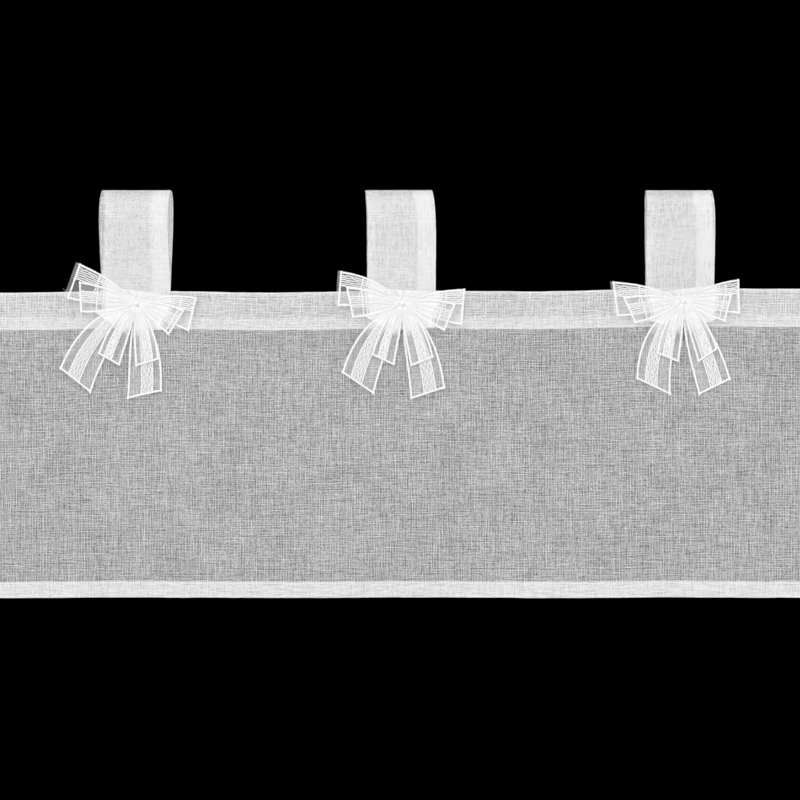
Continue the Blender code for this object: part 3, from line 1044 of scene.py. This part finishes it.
class Needle:
    """Sews threads on one ribbon."""

    def __init__(self, work, ribbon):
        self.work, self.ribbon = work, ribbon

    def swell(self, point):
        """How thick a satin line is: thin at the bow's middle, and a little uneven."""
        centre_x, centre_z = self.ribbon.centre
        far = math.hypot(point.x - centre_x, point.z - centre_z)
        full = SATIN_ROOT + (1 - SATIN_ROOT) * ease((far - SATIN_GROWS[0]) / SATIN_GROWS[1])
        return full * (1 + ruffle(point.x, point.z, SATIN_UNEVEN))

    def satin(self, start, end, width=SATIN_WIDTH):
        """A line of satin stitches from start to end, each (share, side)."""
        seed = self.ribbon.number + start[1]
        points = self.ribbon.line(start, end, SATIN_STITCH, SATIN_WANDER, seed)
        cord(self.work, points, width, SATIN_THICK, sides=8, ripple=SATIN_RIPPLE, swell=self.swell)

    def fine(self, start, end, wander, seed, radius):
        """A single thread from start to end."""
        points = self.ribbon.line(start, end, FINE_STEP, wander, seed)
        cord(self.work, points, 2 * radius, 2 * radius, sides=5)

    def fine_lines(self, places, end_share):
        """A band of single threads along the ribbon, at shares from its outer edge."""
        kind = self.ribbon.kind
        for index, place in enumerate(places):
            side = self.ribbon.side_at(place)
            self.fine((FINE_START[kind], side), (end_share, side), FINE_WANDER,
                      index + self.ribbon.number * FINE_SEEDS, FINE_RADIUS[kind])

    def border(self, place, end_share):
        """A narrow satin line along the ribbon, at a share from its outer edge."""
        side = self.ribbon.side_at(place)
        start = BORDER_START[self.ribbon.kind]
        self.satin((start, side), (end_share, side), BORDER_WIDTH)

    def fan(self, fan_end):
        """Fine gather lines from the root, as far as about fan_end."""
        ribbon = self.ribbon
        for index in range(FAN_LINES):
            side = 2 * (index + 1) / (FAN_LINES + 1) - 1
            stop = fan_end * (FAN_STOP[0] + FAN_STOP[1] * rng.random())
            self.fine((ribbon.root, side), (stop, side), FAN_WANDER,
                      index + FAN_SEEDS * ribbon.number, FAN_RADIUS)

    def wisp(self):
        """One fine fibre that has come loose at a wing's cut end."""
        side = self.ribbon.outer * (WISP_SPREAD[0] + WISP_SPREAD[1] * rng.random() ** 2)
        behind, start = (self.ribbon.place(share, side) for share in WISP_SHARES)
        outward = (start - behind).normalized()
        swing = Vector((rng.uniform(-1, 1), rng.uniform(*WISP_LEAN), rng.uniform(-1, 1)))
        length = rng.uniform(*WISP_LENGTHS) * MM
        points = [start + (outward + swing * part * WISP_CURL) * (length * part)
                  for part in WISP_PARTS]
        cord(self.work, points, WISP_WIDTH, WISP_WIDTH, sides=4, taper=0.5)


def sew_outline(needle, end_share):
    """Satin lines along both long edges and the cut end."""
    ribbon = needle.ribbon
    rim = SATIN_WIDTH / ribbon.width
    for side in (-1 + rim, 1 - rim):
        needle.satin((ribbon.root * OUTLINE_START, side), (end_share + OUTLINE_PAST, side))
    needle.satin((end_share, -OUTLINE_SPAN), (end_share, OUTLINE_SPAN))


def sew_tail(needle, end_share):
    """A tail's band between two borders, and its fan."""
    for place in TAIL_BORDERS:
        needle.border(place, end_share)
    needle.fine_lines(TAIL_FINE, end_share)
    needle.fan(needle.ribbon.share_at(TAIL_FAN_REACH))


def sew_wing(needle, end_share):
    """A wing's two cross lines, its border and band, loose fibres and its fan."""
    ribbon = needle.ribbon
    cross = ribbon.share_at(CROSS_REACH[ribbon.layer])
    needle.satin((cross, -CROSS_SPAN), (cross, CROSS_SPAN), BORDER_WIDTH)
    inner = ribbon.share_at(INNER_CROSS[ribbon.bow] * CROSS_REACH[ribbon.layer])
    needle.satin((inner, -INNER_CROSS_SPAN), (inner, INNER_CROSS_SPAN), INNER_CROSS_WIDTH)
    needle.border(WING_BORDER[ribbon.layer], end_share)
    needle.fine_lines(WING_FINE[ribbon.layer], end_share)
    for _ in range(WISPS[ribbon.layer]):
        needle.wisp()
    needle.fan(inner)


def build_embroidery(ribbons, finish):
    """All the threads of one layer."""
    work = bmesh.new()
    for ribbon in ribbons:
        needle = Needle(work, ribbon)
        inset = SATIN_INSET[ribbon.bow] if ribbon.raw_ended else 0
        end_share = ribbon.share_at(ribbon.reach - SATIN_WIDTH / 2 - inset)
        sew_outline(needle, end_share)
        if ribbon.kind == TAIL:
            sew_tail(needle, end_share)
        else:
            sew_wing(needle, end_share)
    first = ribbons[0]
    return add_piece(f"bow_{first.bow}_{first.layer}_embroidery", work, finish)


def build_pearl(name, finish):
    """The pearl bead, in place of its solid."""
    low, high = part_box(f"bow_{name}_pearl")
    ball = bmesh.new()
    bmesh.ops.create_uvsphere(ball, u_segments=32, v_segments=24, radius=PEARL_DIAMETER / 2)
    bmesh.ops.translate(ball, vec=(low + high) / 2, verts=ball.verts)
    piece = add_piece(f"bow_{name}_bead", ball, finish)
    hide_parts(f"bow_{name}_pearl")


def build_bow(tab, cloth_finish, thread_finish, bead_finish):
    """Both layers of one bow, the larger one behind, and its pearl."""
    for layer in ("back", "front"):
        ribbons = [Ribbon(tab, layer, number) for number in range(len(KINDS))]
        ground = build_ground(ribbons, cloth_finish)
        work = build_embroidery(ribbons, thread_finish)
        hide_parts(f"bow_{tab.name}_{layer}")
    build_pearl(tab.name, bead_finish)


# Stage, camera and light

def build_stage():
    """A pale floor well below the hanging curtain."""
    floor = bmesh.new()
    bmesh.ops.create_grid(floor, x_segments=1, y_segments=1, size=FLOOR_HALF)
    mesh = bpy.data.meshes.new("floor")
    floor.to_mesh(mesh)
    floor.free()
    mesh.materials.append(Nodes("floor").finish(FLOOR_ROUGHNESS, Base_Color=FLOOR_COLOR))
    ground = bpy.data.objects.new("floor", mesh)
    ground.location = FLOOR_PLACE
    scene.collection.objects.link(ground)


def build_camera():
    """A long lens from the front."""
    camera = bpy.data.cameras.new("camera")
    camera.sensor_width = SENSOR_WIDTH
    camera.lens = SENSOR_WIDTH * VIEW_DISTANCE * PIXELS_PER_METRE / VIEW_PIXELS
    camera.clip_end = CLIP_END
    holder = bpy.data.objects.new("camera", camera)
    holder.location = (VIEW_CENTRE[0], -VIEW_DISTANCE, VIEW_CENTRE[1])
    holder.rotation_euler = (math.pi / 2, 0.0, 0.0)
    scene.collection.objects.link(holder)
    scene.camera = holder


def build_world():
    """White light from all round, black to the camera and in reflections."""
    world = bpy.data.worlds.new("world")
    world.use_nodes = True
    tree = world.node_tree
    light = tree.nodes["Background"]
    light.inputs["Color"].default_value = (1.0, 1.0, 1.0, 1.0)
    light.inputs["Strength"].default_value = WORLD_LIGHT
    dark = tree.nodes.new("ShaderNodeBackground")
    dark.inputs["Color"].default_value = (0.0, 0.0, 0.0, 1.0)
    rays = tree.nodes.new("ShaderNodeLightPath")
    seen = rays.outputs["Is Camera Ray"]
    for kind in ("Is Glossy Ray", "Is Transmission Ray"):
        add = tree.nodes.new("ShaderNodeMath")
        add.operation = "MAXIMUM"
        tree.links.new(seen, add.inputs[0])
        tree.links.new(rays.outputs[kind], add.inputs[1])
        seen = add.outputs[0]
    mix = tree.nodes.new("ShaderNodeMixShader")
    tree.links.new(seen, mix.inputs[0])
    tree.links.new(light.outputs[0], mix.inputs[1])
    tree.links.new(dark.outputs[0], mix.inputs[2])
    tree.links.new(mix.outputs[0], tree.nodes["World Output"].inputs["Surface"])
    scene.world = world


def build_lamp(name, place, size, power):
    """A square lamp that shines at the middle of the curtain."""
    lamp = bpy.data.lights.new(name, "AREA")
    lamp.size = size
    lamp.energy = power
    holder = bpy.data.objects.new(name, lamp)
    holder.location = place
    holder.rotation_euler = (Vector(LAMP_AIM) - Vector(place)).to_track_quat("-Z", "Y").to_euler()
    scene.collection.objects.link(holder)


def main():
    scene.view_settings.view_transform = "Standard"
    build_camera()
    build_stage()
    build_world()
    for lamp in LAMPS:
        build_lamp(*lamp)
    panel_voile, tab_voile = voile("panel_voile"), voile("tab_voile")
    thread_finish = thread()
    panel = build_panel(panel_voile)
    seams = build_seams(thread_finish)
    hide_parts("panel")
    for tab in TABS:
        cloth, seam = build_tab(tab, tab_voile, thread_finish)
        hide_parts(f"tab_{tab.name}")
    cloth_finish, bead_finish = organza(), pearl_finish()
    for tab in TABS:
        build_bow(tab, cloth_finish, thread_finish, bead_finish)


main()
